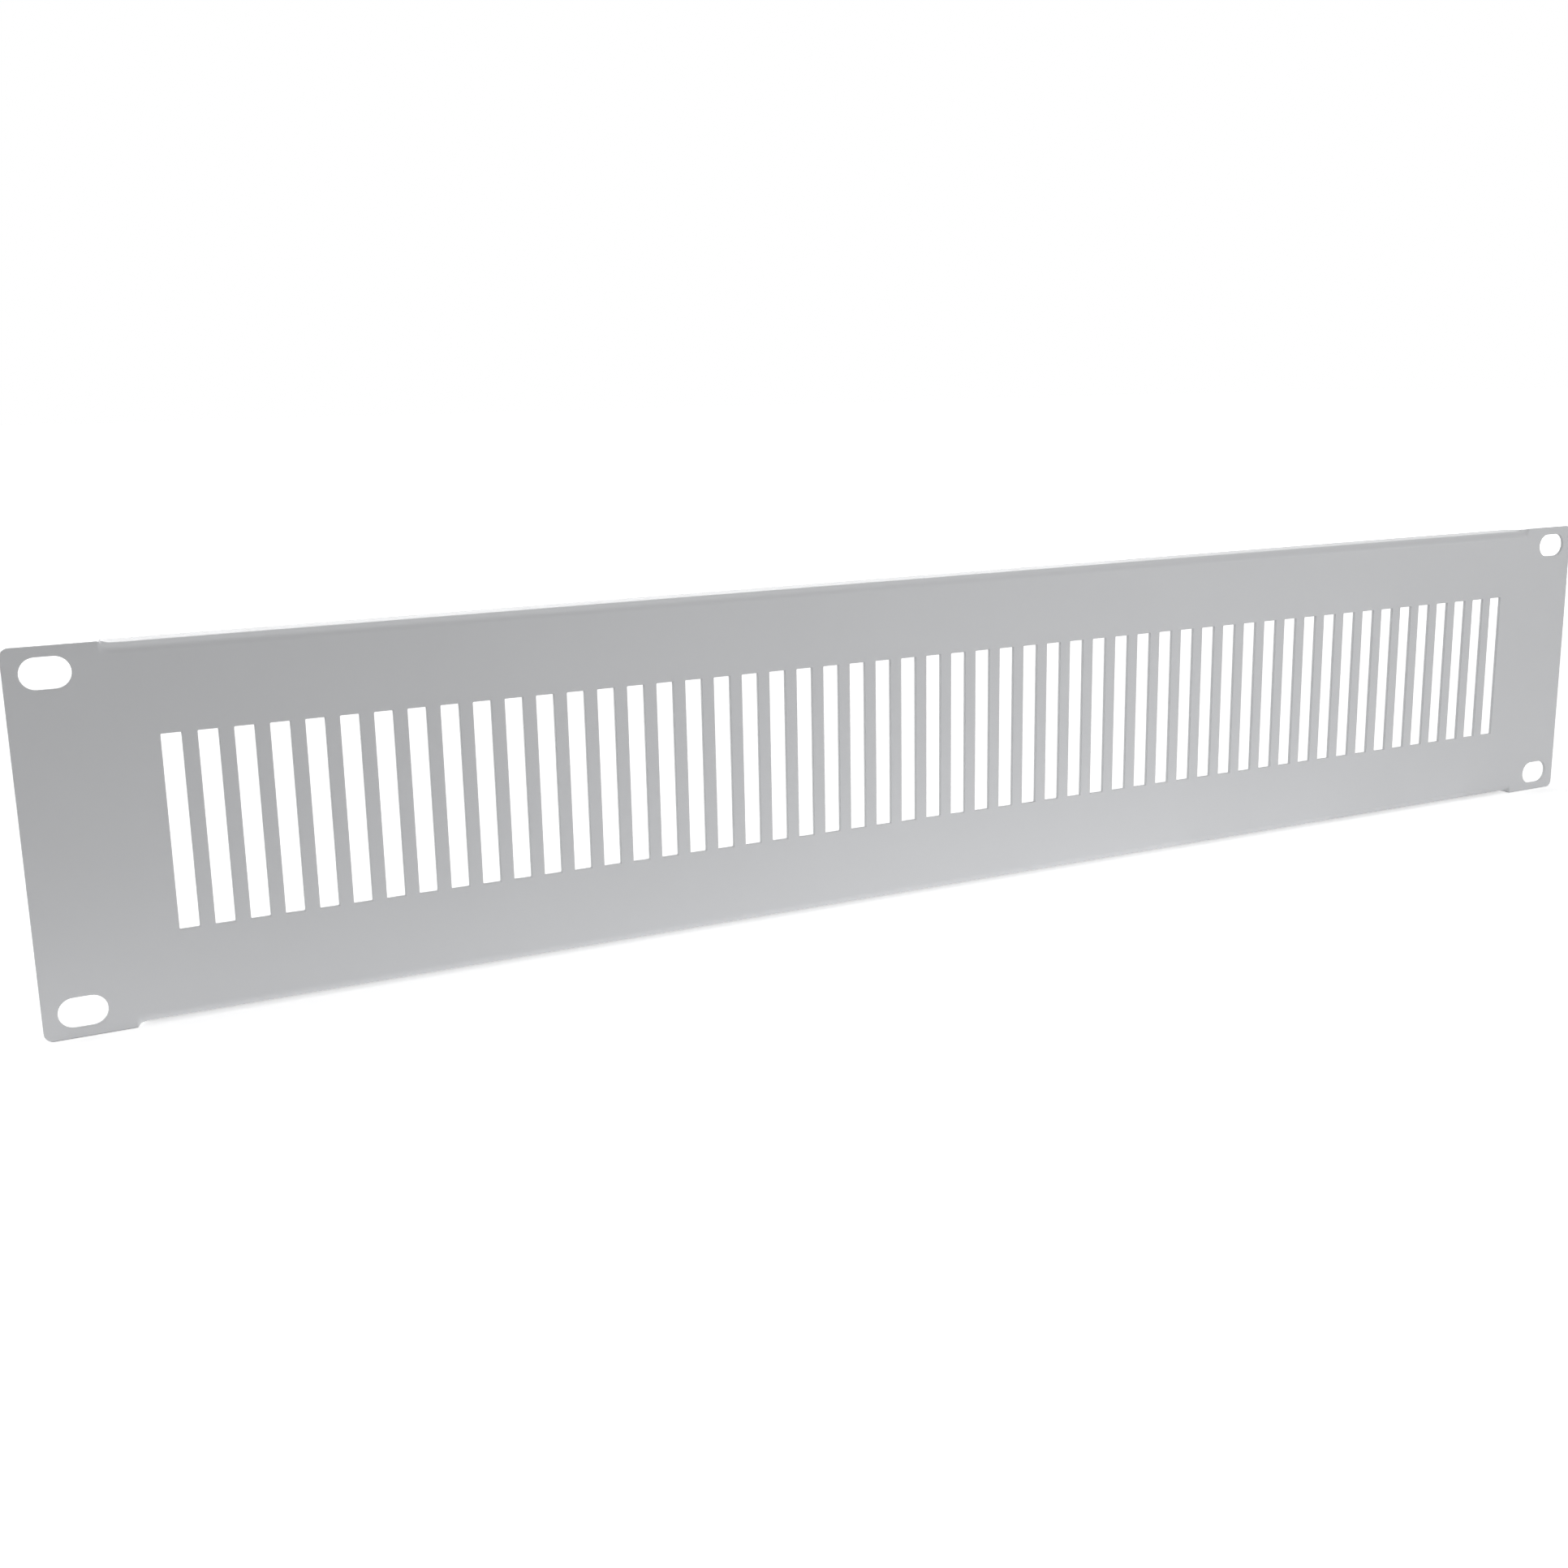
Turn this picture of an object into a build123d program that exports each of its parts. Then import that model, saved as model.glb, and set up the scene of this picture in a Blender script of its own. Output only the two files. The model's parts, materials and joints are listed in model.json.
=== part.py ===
"""Rack blanking panel for a 19-inch rack, two units high, with a row of upright vents.

One steel sheet. Its top and bottom edges are folded back between the two flat ears, and each bend
flares out to the ear over a few millimetres, with no relief notch. X is along the width, Y goes
into the rack and Z is up. The origin is at the centre of the four mounting slots, on the rear face
of the ears, which is the face that meets the rack's rails. All sizes are in millimetres.
"""
import os
from math import cos, pi, sin

from build123d import *

# Sheet and outline
PANEL_WIDTH = 482.6
PANEL_HEIGHT = 88.0
SHEET_THICKNESS = 1.0
CORNER_RADIUS = 2.0
EAR_WIDTH = 21.3

# Folded edges: the setback is how far a folded face lies inside the ear's edge
FOLD_SETBACK = 0.7
FOLD_DEPTH = 9.0
BEND_INSIDE_RADIUS = 1.5

# Ends of the fold: the bend flares before the flange ends, and opens out into the ear after it
FLARE_LENGTH = 1.8
RUNOUT_LENGTH = 1.6
END_STEPS = 5

# Mounting slots: the insets run from the panel's end and edge to the slot's centre
SLOT_LENGTH = 10.8
SLOT_WIDTH = 7.0
SLOT_END_INSET = 8.75
SLOT_EDGE_INSET = 5.9

# Vents: the land is the least sheet left between the last vent and the end of the fold
VENT_WIDTH = 4.5
VENT_HEIGHT = 45.0
VENT_PITCH = 8.0
VENT_END_LAND = 8.0

# Sizes that follow
FOLD_LENGTH = PANEL_WIDTH - 2 * EAR_WIDTH
BEND_OUTSIDE_RADIUS = BEND_INSIDE_RADIUS + SHEET_THICKNESS
BEND_START_Z = PANEL_HEIGHT / 2 - FOLD_SETBACK - BEND_OUTSIDE_RADIUS
BEND_ANGLE = pi / 2
FRONT_Y = -SHEET_THICKNESS
FLANGE_EDGE_Y = FRONT_Y + FOLD_DEPTH
SLOT_SPACING_X = PANEL_WIDTH - 2 * SLOT_END_INSET
SLOT_SPACING_Z = PANEL_HEIGHT - 2 * SLOT_EDGE_INSET
VENT_ROOM = FOLD_LENGTH - 2 * VENT_END_LAND - VENT_WIDTH
VENT_COUNT = int(VENT_ROOM // VENT_PITCH) + 1


def sheet_outline():
    """The flat of the sheet: the two ears and the face between the two bends."""
    ears = RectangleRounded(PANEL_WIDTH, PANEL_HEIGHT, CORNER_RADIUS)
    folded_away = Rectangle(
        FOLD_LENGTH + 2 * RUNOUT_LENGTH,
        PANEL_HEIGHT / 2 - BEND_START_Z,
        align=(Align.CENTER, Align.MIN),
    )
    top = Pos(0, BEND_START_Z) * folded_away
    bottom = Rot(0, 0, 180) * top
    return ears - top - bottom


def mounting_slots():
    """Four slots, long along X, at the standard's hole centres."""
    slot = SlotOverall(SLOT_LENGTH, SLOT_WIDTH)
    return [place * slot for place in GridLocations(SLOT_SPACING_X, SLOT_SPACING_Z, 2, 2)]


def vents():
    """The row of upright openings with square corners, centred on the face."""
    vent = Rectangle(VENT_WIDTH, VENT_HEIGHT)
    return [place * vent for place in GridLocations(VENT_PITCH, 0, VENT_COUNT, 1)]


def flat_sheet():
    """The pierced flat, from its rear face at Y 0 to its front face."""
    blank = sheet_outline() - mounting_slots() - vents()
    return extrude(Plane.XZ * blank, SHEET_THICKNESS)


def bend_arcs(angle, height):
    """The front and rear arcs of the sheet above the bend line, bent through an angle.

    The height is where the front arc ends above the line. Local x is Y, and local y is Z.
    """
    outer = height / sin(angle)
    inner = outer - SHEET_THICKNESS
    centre_y = FRONT_Y + outer

    def on_arc(radius, turn):
        return (centre_y - radius * cos(turn), BEND_START_Z + radius * sin(turn))

    front = ThreePointArc(on_arc(outer, 0), on_arc(outer, angle / 2), on_arc(outer, angle))
    rear = ThreePointArc(on_arc(inner, angle), on_arc(inner, angle / 2), on_arc(inner, 0))
    return front, rear


def strip_section(angle, height):
    """The section of a strip that ends where its bend does, or of the flat ear at no angle."""
    if angle == 0:
        return Polyline(
            (FRONT_Y, BEND_START_Z),
            (FRONT_Y, BEND_START_Z + height),
            (0, BEND_START_Z + height),
            (0, BEND_START_Z),
            close=True,
        )
    front, rear = bend_arcs(angle, height)
    return front + Line(front @ 1, rear @ 0) + rear + Line(rear @ 1, front @ 0)


def fold_section(height):
    """The section of the closed bend and its flange. The flange's rear edge stays at its place."""
    front, rear = bend_arcs(BEND_ANGLE, height)
    top_z = BEND_START_Z + BEND_OUTSIDE_RADIUS
    rear_edge = [(FLANGE_EDGE_Y, top_z), (FLANGE_EDGE_Y, top_z - SHEET_THICKNESS)]
    flange = Polyline(front @ 1, *rear_edge, rear @ 0)
    return front + flange + rear + Line(rear @ 1, front @ 0)


def folded_edge():
    """The top bend and its flange, as far as they run straight."""
    section = make_face(fold_section(BEND_OUTSIDE_RADIUS).edges())
    return extrude(Plane.YZ * section, FOLD_LENGTH / 2 - FLARE_LENGTH, both=True)


def end_height(x):
    """How high the bend reaches at X: the fold's height, rising smoothly to the ear's edge."""
    along = (x - FOLD_LENGTH / 2 + FLARE_LENGTH) / (FLARE_LENGTH + RUNOUT_LENGTH)
    return BEND_OUTSIDE_RADIUS + FOLD_SETBACK * (1 - cos(pi * along)) / 2


def bend_flare():
    """The last stretch of the top fold at its right end, where the bend grows towards the ear's edge."""
    sections = []
    for step in range(END_STEPS + 1):
        x = FOLD_LENGTH / 2 - FLARE_LENGTH * (1 - step / END_STEPS)
        outline = fold_section(end_height(x))
        sections.append(Plane.YZ.offset(x) * make_face(outline.edges()))
    return loft(sections)


def bend_runout():
    """The stretch beyond the right end of the top flange, where the bend opens out into the flat ear."""
    sections = []
    for step in range(END_STEPS + 1):
        along = step / END_STEPS
        x = FOLD_LENGTH / 2 + RUNOUT_LENGTH * along
        bent = (1 + cos(pi * along)) / 2
        outline = strip_section(BEND_ANGLE * bent, end_height(x))
        sections.append(Plane.YZ.offset(x) * make_face(outline.edges()))
    return loft(sections)


def panel():
    """The whole folded sheet as one solid."""
    right_end = bend_flare() + bend_runout()
    top = folded_edge() + right_end + mirror(right_end, Plane.YZ)
    return flat_sheet() + top + mirror(top, Plane.XY)


os.makedirs("parts", exist_ok=True)
export_step(panel(), "parts/panel.step")
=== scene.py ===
import json
from math import copysign, cos, pi, radians, sin

import bmesh
import bpy
from mathutils import Matrix, Vector


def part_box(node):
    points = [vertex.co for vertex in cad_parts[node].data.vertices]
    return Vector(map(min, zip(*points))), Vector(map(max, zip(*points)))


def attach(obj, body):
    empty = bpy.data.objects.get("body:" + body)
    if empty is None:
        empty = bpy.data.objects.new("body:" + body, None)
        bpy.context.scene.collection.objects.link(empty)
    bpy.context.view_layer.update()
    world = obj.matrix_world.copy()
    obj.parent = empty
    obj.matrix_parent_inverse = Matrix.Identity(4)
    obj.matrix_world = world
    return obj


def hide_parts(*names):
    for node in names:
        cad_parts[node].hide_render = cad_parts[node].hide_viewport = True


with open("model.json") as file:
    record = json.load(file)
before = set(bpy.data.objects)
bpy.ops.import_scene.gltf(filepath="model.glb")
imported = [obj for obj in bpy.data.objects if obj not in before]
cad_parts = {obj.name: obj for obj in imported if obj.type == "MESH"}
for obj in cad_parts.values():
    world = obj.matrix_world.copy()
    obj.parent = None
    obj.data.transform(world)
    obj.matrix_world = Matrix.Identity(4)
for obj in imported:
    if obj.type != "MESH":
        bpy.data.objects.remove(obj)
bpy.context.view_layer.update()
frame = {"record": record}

MM = 0.001

# Sizes that the frame gives
LOW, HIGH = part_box("panel")
MOUNTS = {mount["name"]: mount for mount in frame["record"]["mounts"]}
SLOTS = MOUNTS["rack_slots"]["dims"]
END_X = HIGH[0]
EAR_TOP_Z = HIGH[2]
FRONT_Y = LOW[1]
FLANGE_EDGE_Y = HIGH[1]
SHEET = -FRONT_Y
SLOT_X = SLOTS["spacing_x_mm"] / 2 * MM
SLOT_Z = SLOTS["spacing_y_mm"] / 2 * MM
SLOT_RADIUS = SLOTS["hole_r_mm"] * MM
SLOT_STRAIGHT = SLOTS["slot_length_mm"] / 2 * MM - SLOT_RADIUS

# Sizes repeated from the part
CORNER_RADIUS = 2.0 * MM
EAR_WIDTH = 21.3 * MM
FOLD_SETBACK = 0.7 * MM
BEND_OUTSIDE_RADIUS = 2.5 * MM
FLARE_LENGTH = 1.8 * MM
RUNOUT_LENGTH = 1.6 * MM
VENT_WIDTH = 4.5 * MM
VENT_HEIGHT = 45.0 * MM
VENT_PITCH = 8.0 * MM
VENT_COUNT = 53

# Sizes that follow
FOLD_END_X = END_X - EAR_WIDTH
EAR_START_X = FOLD_END_X + RUNOUT_LENGTH
BEND_START_Z = EAR_TOP_Z - FOLD_SETBACK - BEND_OUTSIDE_RADIUS
BEND_STRIP = EAR_TOP_Z - BEND_START_Z
FLANGE_TOP_Z = EAR_TOP_Z - FOLD_SETBACK
FLANGE_LENGTH = FLANGE_EDGE_Y - FRONT_Y - BEND_OUTSIDE_RADIUS
VENTED_END_X = VENT_COUNT * VENT_PITCH / 2

# How finely the curves are divided
BEND_ROWS = 10
FLARE_COLUMNS = 6
RUNOUT_COLUMNS = 5
SLOT_STEPS = 16
CORNER_STEPS = 6

# The coat's own form: it rounds each edge where the sheet turns by more than the angle, in degrees
COATED_EDGE_RADIUS = 0.24 * MM
COATED_EDGE_STEPS = 3
CUT_EDGE_ANGLE = 50
WELD = 0.002 * MM

# The coat's finish: how far apart its swells, grains and drifts lie, and how high they stand
SWELL_SPACING = 1.6 * MM
SWELL_HEIGHT = 0.012 * MM
GRAIN_SPACING = 0.35 * MM
GRAIN_HEIGHT = 0.002 * MM
DRIFT_SPACING = 45 * MM
LEAST_ROUGHNESS = 0.42
MOST_ROUGHNESS = 0.50


def linear(hex_colour):
    """An sRGB hex colour as linear red, green, blue and alpha."""
    shares = [int(hex_colour[i:i + 2], 16) / 255 for i in (1, 3, 5)]
    return [s / 12.92 if s <= 0.04045 else ((s + 0.055) / 1.055) ** 2.4 for s in shares] + [1.0]


def add(tree, kind, links=None, **settings):
    """A new node with its settings. Each input is linked to a socket or set to a value."""
    node = tree.nodes.new(kind)
    for name, value in settings.items():
        setattr(node, name, value)
    for socket, source in (links or {}).items():
        if isinstance(source, bpy.types.NodeSocket):
            tree.links.new(source, node.inputs[socket])
        else:
            node.inputs[socket].default_value = source
    return node


def satin_powder_coat():
    """Polyester powder baked on steel: an even light grey with a satin sheen and fine orange peel."""
    material = bpy.data.materials.new("satin_powder_coat_light_grey")
    material.use_nodes = True
    tree = material.node_tree
    shader = tree.nodes["Principled BSDF"]
    place = add(tree, "ShaderNodeTexCoord").outputs["Object"]

    # The levelled powder keeps low swells
    peel = add(tree, "ShaderNodeTexNoise", {
        "Vector": place, "Scale": 1 / SWELL_SPACING, "Detail": 2.0, "Roughness": 0.5,
    })
    # Single grains that didn't melt out, drawn about as coarse as they need to be to show
    grain = add(tree, "ShaderNodeTexNoise", {
        "Vector": place, "Scale": 1 / GRAIN_SPACING, "Detail": 1.0, "Roughness": 0.5,
    })
    swells = add(tree, "ShaderNodeBump", {
        "Height": peel.outputs["Fac"], "Strength": 1.0, "Distance": SWELL_HEIGHT,
    })
    surface = add(tree, "ShaderNodeBump", {
        "Height": grain.outputs["Fac"], "Strength": 1.0, "Distance": GRAIN_HEIGHT,
        "Normal": swells.outputs["Normal"],
    })

    # The coat's depth drifts over a few centimetres, which shifts its tone by two parts in a hundred
    drift = add(tree, "ShaderNodeTexNoise", {
        "Vector": place, "Scale": 1 / DRIFT_SPACING, "Detail": 3.0, "Roughness": 0.55,
    })
    tone = add(tree, "ShaderNodeMix", {
        "Factor": drift.outputs["Fac"], "A": linear("#C5C6C8"), "B": linear("#C9CACC"),
    }, data_type="RGBA")
    sheen = add(tree, "ShaderNodeMapRange", {
        "Value": grain.outputs["Fac"], "From Min": 0.3, "From Max": 0.7,
        "To Min": LEAST_ROUGHNESS, "To Max": MOST_ROUGHNESS,
    })

    tree.links.new(tone.outputs["Result"], shader.inputs["Base Color"])
    tree.links.new(sheen.outputs["Result"], shader.inputs["Roughness"])
    tree.links.new(surface.outputs["Normal"], shader.inputs["Normal"])
    shader.inputs["IOR"].default_value = 1.5
    shader.inputs["Metallic"].default_value = 0.0
    return material


def vented_face_tree():
    """Geometry nodes for the flat blank between the ears: one strip with its vent, repeated along X.

    A grid of unit squares is stretched to the strip's real sizes: in each direction the two inner
    lines go to the vent's edges and the next to the strip's. Further rows make the bend and flange.
    """
    tree = bpy.data.node_groups.new("vented_face", "GeometryNodeTree")
    for name, kind in (
        ("Vent count", "NodeSocketInt"),
        ("Vent pitch", "NodeSocketFloat"),
        ("Vent width", "NodeSocketFloat"),
        ("Vent height", "NodeSocketFloat"),
        ("Bend start", "NodeSocketFloat"),
        ("Bend row", "NodeSocketFloat"),
        ("Flange length", "NodeSocketFloat"),
        ("Coat", "NodeSocketMaterial"),
    ):
        tree.interface.new_socket(name, in_out="INPUT", socket_type=kind)
    tree.interface.new_socket("Blank", in_out="OUTPUT", socket_type="NodeSocketGeometry")
    given = add(tree, "NodeGroupInput").outputs

    rows = 3 + 2 * (BEND_ROWS + 1)
    grid = add(tree, "GeometryNodeMeshGrid", {
        "Size X": 3.0, "Size Y": float(rows), "Vertices X": 4, "Vertices Y": rows + 1,
    })
    place = add(tree, "GeometryNodeInputPosition").outputs["Position"]
    from_middle = add(tree, "ShaderNodeVectorMath", {0: place}, operation="LENGTH")
    in_vent = add(tree, "FunctionNodeCompare", {
        "A": from_middle.outputs["Value"], "B": 0.5,
    }, data_type="FLOAT", operation="LESS_THAN")
    opened = add(tree, "GeometryNodeDeleteGeometry", {
        "Geometry": grid.outputs["Mesh"], "Selection": in_vent.outputs["Result"],
    }, domain="FACE")

    # Across: 0.5 goes to half the vent's width, and 1.5 to half the pitch
    axes = add(tree, "ShaderNodeSeparateXYZ", {0: place})
    side_x = add(tree, "ShaderNodeMath", {0: axes.outputs["X"]}, operation="SIGN")
    line_x = add(tree, "ShaderNodeMath", {0: axes.outputs["X"]}, operation="ABSOLUTE")
    half_vent = add(tree, "ShaderNodeMath", {0: given["Vent width"], 1: 0.5}, operation="MULTIPLY")
    half_pitch = add(tree, "ShaderNodeMath", {0: given["Vent pitch"], 1: 0.5}, operation="MULTIPLY")
    across = add(tree, "ShaderNodeMapRange", {
        "Value": line_x.outputs[0], "From Min": 0.5, "From Max": 1.5,
        "To Min": half_vent.outputs[0], "To Max": half_pitch.outputs[0],
    })
    new_x = add(tree, "ShaderNodeMath", {0: across.outputs[0], 1: side_x.outputs[0]}, operation="MULTIPLY")

    # Along: 0.5 goes to half the vent's height, 1.5 to the bend's start, then row by row to the edge
    side_y = add(tree, "ShaderNodeMath", {0: axes.outputs["Y"]}, operation="SIGN")
    line_y = add(tree, "ShaderNodeMath", {0: axes.outputs["Y"]}, operation="ABSOLUTE")
    half_height = add(tree, "ShaderNodeMath", {0: given["Vent height"], 1: 0.5}, operation="MULTIPLY")
    face = add(tree, "ShaderNodeMapRange", {
        "Value": line_y.outputs[0], "From Min": 0.5, "From Max": 1.5,
        "To Min": half_height.outputs[0], "To Max": given["Bend start"],
    })
    bend_line = add(tree, "ShaderNodeMapRange", {
        "Value": line_y.outputs[0], "From Min": 1.5, "From Max": 1.5 + BEND_ROWS,
        "To Min": 0.0, "To Max": float(BEND_ROWS),
    })
    flange_line = add(tree, "ShaderNodeMapRange", {
        "Value": line_y.outputs[0], "From Min": 1.5 + BEND_ROWS, "From Max": 2.5 + BEND_ROWS,
        "To Min": 0.0, "To Max": given["Flange length"],
    })
    bent = add(tree, "ShaderNodeMath", {
        0: bend_line.outputs[0], 1: given["Bend row"], 2: face.outputs[0],
    }, operation="MULTIPLY_ADD")
    along = add(tree, "ShaderNodeMath", {0: bent.outputs[0], 1: flange_line.outputs[0]}, operation="ADD")
    new_y = add(tree, "ShaderNodeMath", {0: along.outputs[0], 1: side_y.outputs[0]}, operation="MULTIPLY")
    new_place = add(tree, "ShaderNodeCombineXYZ", {"X": new_x.outputs[0], "Y": new_y.outputs[0]})
    strip = add(tree, "GeometryNodeSetPosition", {
        "Geometry": opened.outputs["Geometry"], "Position": new_place.outputs[0],
    })

    # One strip for each vent, centred on the panel
    gaps = add(tree, "ShaderNodeMath", {0: given["Vent count"], 1: 1.0}, operation="SUBTRACT")
    reach = add(tree, "ShaderNodeMath", {0: gaps.outputs[0], 1: half_pitch.outputs[0]}, operation="MULTIPLY")
    first_x = add(tree, "ShaderNodeMath", {0: reach.outputs[0], 1: -1.0}, operation="MULTIPLY")
    first = add(tree, "ShaderNodeCombineXYZ", {"X": first_x.outputs[0]})
    step = add(tree, "ShaderNodeCombineXYZ", {"X": given["Vent pitch"]})
    centres = add(tree, "GeometryNodeMeshLine", {
        "Count": given["Vent count"], "Start Location": first.outputs[0], "Offset": step.outputs[0],
    }, mode="OFFSET")
    strips = add(tree, "GeometryNodeInstanceOnPoints", {
        "Points": centres.outputs["Mesh"], "Instance": strip.outputs["Geometry"],
    })
    real = add(tree, "GeometryNodeRealizeInstances", {"Geometry": strips.outputs["Instances"]})
    coated = add(tree, "GeometryNodeSetMaterial", {
        "Geometry": real.outputs["Geometry"], "Material": given["Coat"],
    })
    add(tree, "NodeGroupOutput", {"Blank": coated.outputs["Geometry"]})
    return tree


def plain_mesh(piece):
    """A piece's mesh with its modifiers worked in."""
    mesh = bpy.data.meshes.new_from_object(piece.evaluated_get(bpy.context.evaluated_depsgraph_get()))
    piece.modifiers.clear()
    return mesh


def vented_face(coat):
    """The repeated part of the blank as a plain flat mesh."""
    holder = bpy.data.objects.new("vented_face", bpy.data.meshes.new("vented_face"))
    bpy.context.collection.objects.link(holder)
    modifier = holder.modifiers.new("vents", "NODES")
    modifier.node_group = vented_face_tree()
    values = {
        "Vent count": VENT_COUNT,
        "Vent pitch": VENT_PITCH,
        "Vent width": VENT_WIDTH,
        "Vent height": VENT_HEIGHT,
        "Bend start": BEND_START_Z,
        "Bend row": BEND_STRIP / BEND_ROWS,
        "Flange length": FLANGE_LENGTH,
        "Coat": coat,
    }
    for socket in modifier.node_group.interface.items_tree:
        if socket.in_out == "INPUT":
            modifier[socket.identifier] = values[socket.name]
    mesh = plain_mesh(holder)
    bpy.data.objects.remove(holder)
    return mesh


def folded(x, depth, along):
    """Where a point of the flat blank lies once the edges are folded.

    The blank is measured as the flat ear is, so the strip that bends is stretched to its arc here.
    Each bend grows towards the ear's edge before its flange ends, and opens out into the ear after it.
    """
    past = abs(along) - BEND_START_Z
    beyond = abs(x) - FOLD_END_X
    if past <= 0 or beyond >= RUNOUT_LENGTH:
        return Vector((x, FRONT_Y + depth, along))
    risen = max((beyond + FLARE_LENGTH) / (FLARE_LENGTH + RUNOUT_LENGTH), 0)
    height = BEND_OUTSIDE_RADIUS + FOLD_SETBACK * (1 - cos(pi * risen)) / 2
    angle = pi / 2 * (1 + cos(pi * max(beyond, 0) / RUNOUT_LENGTH)) / 2
    radius = height / sin(angle)
    turn = angle * min(past / BEND_STRIP, 1)
    y = FRONT_Y + radius - (radius - depth) * cos(turn)
    z = BEND_START_Z + (radius - depth) * sin(turn)
    flange = max(past - BEND_STRIP, 0) / FLANGE_LENGTH
    y += (FLANGE_EDGE_Y - y) * flange
    z += (FLANGE_TOP_Z - depth - z) * flange
    return Vector((x, y, copysign(z, along)))


def evenly(first, last, count):
    """Values from the first to the last, in that many equal steps."""
    return [first + (last - first) * step / count for step in range(count + 1)]


def blank_rows(with_flange):
    """The blank's cross lines, from its lower edge to its upper one."""
    upper = [VENT_HEIGHT / 2] + evenly(BEND_START_Z, EAR_TOP_Z, BEND_ROWS)
    if with_flange:
        upper.append(EAR_TOP_Z + FLANGE_LENGTH)
    return [-along for along in reversed(upper)] + upper


def add_grid(mesh, columns, rows):
    """Flat quads between neighbouring columns and rows of the blank."""
    lines = [[mesh.verts.new((x, along, 0)) for along in rows] for x in columns]
    for left, right in zip(lines, lines[1:]):
        for row in range(len(rows) - 1):
            mesh.faces.new((left[row], right[row], right[row + 1], left[row + 1]))


def slot_half(side, upper):
    """Half of a mounting slot's outline on the ear, from its top to its foot, on one side of its centre."""
    z = copysign(SLOT_Z, upper)
    points = [(SLOT_X, z + SLOT_RADIUS)]
    for turn in evenly(0, pi, SLOT_STEPS):
        reach = SLOT_STRAIGHT + SLOT_RADIUS * sin(turn)
        points.append((SLOT_X + side * reach, z + SLOT_RADIUS * cos(turn)))
    return points + [(SLOT_X, z - SLOT_RADIUS)]


def ear_corner(upper):
    """The rounded corner of the ear, from its end towards its long edge for the upper one."""
    turns = evenly(0, pi / 2, CORNER_STEPS)
    reach = CORNER_RADIUS
    points = [(END_X - reach + reach * cos(t), EAR_TOP_Z - reach + reach * sin(t)) for t in turns]
    return points if upper > 0 else [(x, -z) for x, z in reversed(points)]


def add_ears(mesh):
    """Both flat ears. Each is two faces that meet on the slots' centre line."""
    join = [(EAR_START_X, along) for along in blank_rows(with_flange=False)]
    foot, head = (SLOT_X, -EAR_TOP_Z), (SLOT_X, EAR_TOP_Z)
    inner = join + [head] + slot_half(-1, 1) + slot_half(-1, -1) + [foot]
    outer = [foot] + ear_corner(-1) + ear_corner(1) + [head] + slot_half(1, 1) + slot_half(1, -1)
    for outline in (inner, outer):
        for side in (-1, 1):
            mesh.faces.new([mesh.verts.new((side * x, along, 0)) for x, along in outline])


def flat_blank(coat):
    """The front face of the whole blank, laid out flat in X and Y."""
    vented = vented_face(coat)
    mesh = bmesh.new()
    mesh.from_mesh(vented)
    bpy.data.meshes.remove(vented)
    flared = [VENTED_END_X] + evenly(FOLD_END_X - FLARE_LENGTH, FOLD_END_X, FLARE_COLUMNS)
    opened = evenly(FOLD_END_X, EAR_START_X, RUNOUT_COLUMNS)
    for side in (-1, 1):
        add_grid(mesh, [side * x for x in flared], blank_rows(with_flange=True))
        add_grid(mesh, [side * x for x in opened], blank_rows(with_flange=False))
    add_ears(mesh)
    bmesh.ops.remove_doubles(mesh, verts=mesh.verts, dist=WELD)
    for face in mesh.faces:
        if face.normal.z < 0:
            face.normal_flip()
        face.smooth = True
    blank = bpy.data.meshes.new("blank")
    mesh.to_mesh(blank)
    mesh.free()
    blank.materials.append(coat)
    return blank


def folded_panel(coat):
    """The whole sheet: its thickness and rounded edges are given to the flat blank, which is then folded."""
    panel = bpy.data.objects.new("folded_panel", flat_blank(coat))
    bpy.context.collection.objects.link(panel)
    sheet = panel.modifiers.new("sheet", "SOLIDIFY")
    sheet.thickness = SHEET
    sheet.offset = -1
    edges = panel.modifiers.new("coated_edges", "BEVEL")
    edges.width = COATED_EDGE_RADIUS
    edges.segments = COATED_EDGE_STEPS
    edges.limit_method = "ANGLE"
    edges.angle_limit = radians(CUT_EDGE_ANGLE)
    edges.use_clamp_overlap = False
    panel.data = plain_mesh(panel)

    for vertex in panel.data.vertices:
        x, along, depth = vertex.co.x, vertex.co.y, -vertex.co.z
        vertex.co = folded(x, depth, along)
    panel.modifiers.new("even_normals", "WEIGHTED_NORMAL")
    panel.data = plain_mesh(panel)
    panel.data.name = "folded_panel"
    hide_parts("panel")
    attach(panel, "root")
    return panel


# The floor: half its side, and how much white it adds to the lamps' light on it, at two distances
FLOOR_REACH = 8.0
NEAR_DISTANCE = 0.35
NEAR_WHITE = 0.53
FAR_DISTANCE = 1.2
FAR_WHITE = 1.0

# The strength of the even light that the room gives
ROOM_LIGHT = 0.05


def camera_ray_is_white(tree, plain, white):
    """White for camera, glossy and transmission rays, and the plain shader for the rest."""
    ray = add(tree, "ShaderNodeLightPath").outputs
    seen = add(tree, "ShaderNodeMath", {0: ray["Is Camera Ray"], 1: ray["Is Glossy Ray"]}, operation="ADD")
    either = add(tree, "ShaderNodeMath", {
        0: seen.outputs[0], 1: ray["Is Transmission Ray"],
    }, operation="ADD", use_clamp=True)
    return add(tree, "ShaderNodeMixShader", {0: either.outputs[0], 1: plain, 2: white}).outputs[0]


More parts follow.
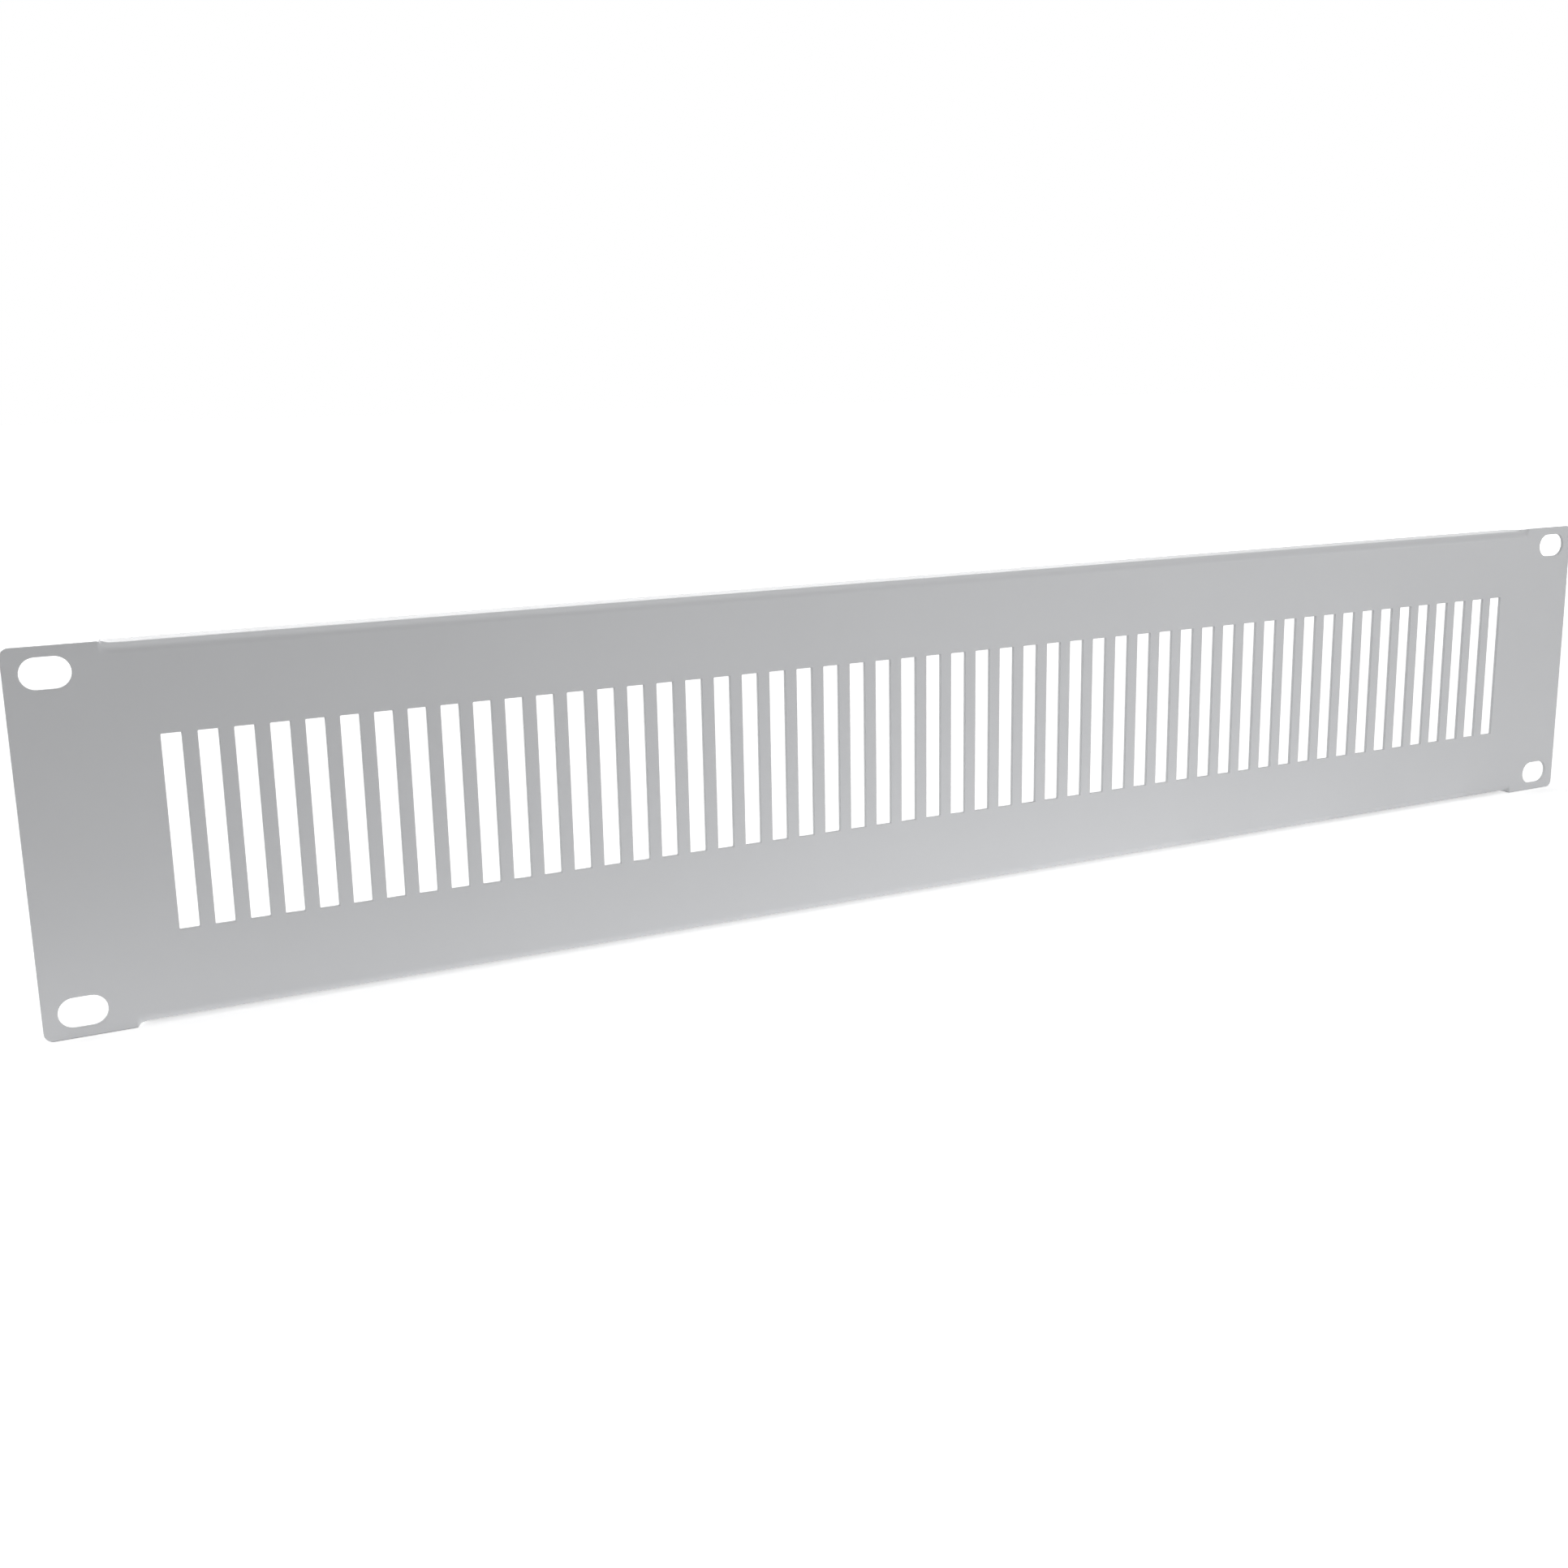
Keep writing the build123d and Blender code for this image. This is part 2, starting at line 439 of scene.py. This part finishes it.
def floor():
    """A plain pale floor at the panel's foot, which shows white and keeps a soft shadow."""
    mesh = bpy.data.meshes.new("floor")
    turns = ((-1, -1), (1, -1), (1, 1), (-1, 1))
    corners = [(x * FLOOR_REACH, y * FLOOR_REACH, LOW[2]) for x, y in turns]
    mesh.from_pydata(corners, [], [(0, 1, 2, 3)])
    plane = bpy.data.objects.new("floor", mesh)
    bpy.context.collection.objects.link(plane)
    material = bpy.data.materials.new("floor_white")
    material.use_nodes = True
    tree = material.node_tree
    tree.nodes.remove(tree.nodes["Principled BSDF"])
    pale = add(tree, "ShaderNodeBsdfDiffuse", {"Color": linear("#E6E6E6")}).outputs[0]

    # Near the panel the lamps give about half of the white, and far from it they give none
    place = add(tree, "ShaderNodeTexCoord").outputs["Object"]
    distance = add(tree, "ShaderNodeVectorMath", {0: place}, operation="LENGTH").outputs["Value"]
    white = add(tree, "ShaderNodeMapRange", {
        "Value": distance, "From Min": NEAR_DISTANCE, "From Max": FAR_DISTANCE,
        "To Min": NEAR_WHITE, "To Max": FAR_WHITE,
    }, interpolation_type="SMOOTHSTEP")
    glow = add(tree, "ShaderNodeEmission", {
        "Color": linear("#FFFFFF"), "Strength": white.outputs["Result"],
    }).outputs[0]
    lit = add(tree, "ShaderNodeAddShader", {0: pale, 1: glow}).outputs[0]
    tree.links.new(camera_ray_is_white(tree, pale, lit), tree.nodes["Material Output"].inputs["Surface"])
    mesh.materials.append(material)


def surroundings():
    """An even pale room that shows white behind the panel."""
    world = bpy.data.worlds.new("studio")
    bpy.context.scene.world = world
    world.use_nodes = True
    tree = world.node_tree
    plain = tree.nodes["Background"]
    plain.inputs["Color"].default_value = linear("#FFFFFF")
    plain.inputs["Strength"].default_value = ROOM_LIGHT
    white = add(tree, "ShaderNodeBackground", {"Color": linear("#FFFFFF"), "Strength": 1.0}).outputs[0]
    shown = camera_ray_is_white(tree, plain.outputs[0], white)
    tree.links.new(shown, tree.nodes["World Output"].inputs["Surface"])


def place_lamp(data, place, aim):
    """Puts a lamp at a place, facing its aim."""
    lamp = bpy.data.objects.new(data.name, data)
    lamp.location = place
    lamp.rotation_euler = (Vector(aim) - Vector(place)).to_track_quat("-Z", "Y").to_euler()
    bpy.context.collection.objects.link(lamp)
    return lamp


def softbox(name, place, aim, size, watts):
    """A rectangular diffuse lamp."""
    data = bpy.data.lights.new(name, "AREA")
    data.shape = "RECTANGLE"
    data.size, data.size_y = size
    data.energy = watts
    return place_lamp(data, place, aim)


# Each softbox's name, place, aim, size and watts. The two back lamps light the top flange, the left
# one the vents' walls, and the rest the face.
SOFTBOXES = (
    ("back", (0.1, 1.5, 0.4), (0.0, 0.0, 0.0), (2.2, 0.5), 10.8),
    ("back_right", (1.3, 1.0, 0.35), (0.1, 0.0, 0.0), (0.8, 0.5), 1.8),
    ("left", (-1.3, 0.45, 0.4), (0.0, 0.0, 0.0), (0.8, 0.6), 8.0),
    ("overhead", (0.0, -0.1, 1.1), (0.0, 0.0, 0.0), (1.4, 1.0), 7.6),
    ("front", (0.25, -1.1, 0.1), (0.1, 0.0, -0.02), (1.0, 0.25), 2.05),
    ("front_right", (0.95, -0.8, 0.16), (0.15, 0.0, -0.02), (0.5, 0.35), 2.85),
)

# Strips of light on the floor along the panel's foot, with each one's start, end and watts. They give
# back the light that a white table would, less of it towards the right.
FOOT_STRIPS = (
    (-0.45, 0.08, 0.0548),
    (0.08, 0.14, 0.0051),
    (0.14, 0.20, 0.0040),
    (0.20, 0.45, 0.0119),
)
FOOT_STRIP_DEPTH = 0.062
FOOT_STRIP_Y = -0.029
FOOT_STRIP_Z = -0.0438


def lamps():
    """Soft studio light."""
    for name, place, aim, size, watts in SOFTBOXES:
        softbox(name, place, aim, size, watts)

    # A wide pool of light on the face's lower middle
    pool = bpy.data.lights.new("pool", "SPOT")
    pool.energy = 2.6
    pool.spot_size = radians(42)
    pool.spot_blend = 1.0
    pool.shadow_soft_size = 0.08
    place_lamp(pool, (0.15, -0.7, 0.02), (0.04, 0.0, -0.11))

    for start, end, watts in FOOT_STRIPS:
        middle = (start + end) / 2
        place, above = (middle, FOOT_STRIP_Y, FOOT_STRIP_Z), (middle, FOOT_STRIP_Y, 1.0)
        foot = softbox("foot", place, above, (end - start, FOOT_STRIP_DEPTH), watts)
        foot.visible_camera = False
        foot.visible_glossy = False


# The camera was found from the photo: where it stood, in millimetres from the panel's middle
CAMERA_PLACE = (-275.8, -417.9, 96.7)
CAMERA_YAW = 27.92
CAMERA_TILT = -13.48
CAMERA_ROLL = -1.10
PHOTO_SIDE_PX = 1932
FOCAL_LENGTH_PX = 2261.8
OPTICAL_ROW_PX = 1006.2


def camera():
    """The photo's viewpoint."""
    data = bpy.data.cameras.new("camera")
    data.sensor_width = 36.0
    data.lens = data.sensor_width * FOCAL_LENGTH_PX / PHOTO_SIDE_PX
    data.shift_y = (OPTICAL_ROW_PX - PHOTO_SIDE_PX / 2) / PHOTO_SIDE_PX
    data.clip_start = 0.01
    data.clip_end = 50.0
    view = bpy.data.objects.new("camera", data)
    turn = Matrix.Rotation(radians(-CAMERA_YAW), 4, "Z")
    tilt = Matrix.Rotation(radians(90 + CAMERA_TILT), 4, "X")
    roll = Matrix.Rotation(radians(CAMERA_ROLL), 4, "Z")
    view.matrix_world = Matrix.Translation(Vector(CAMERA_PLACE) * MM) @ turn @ tilt @ roll
    bpy.context.collection.objects.link(view)
    bpy.context.scene.camera = view


bpy.context.scene.view_settings.view_transform = "Standard"
folded_panel(satin_powder_coat())
floor()
surroundings()
lamps()
camera()
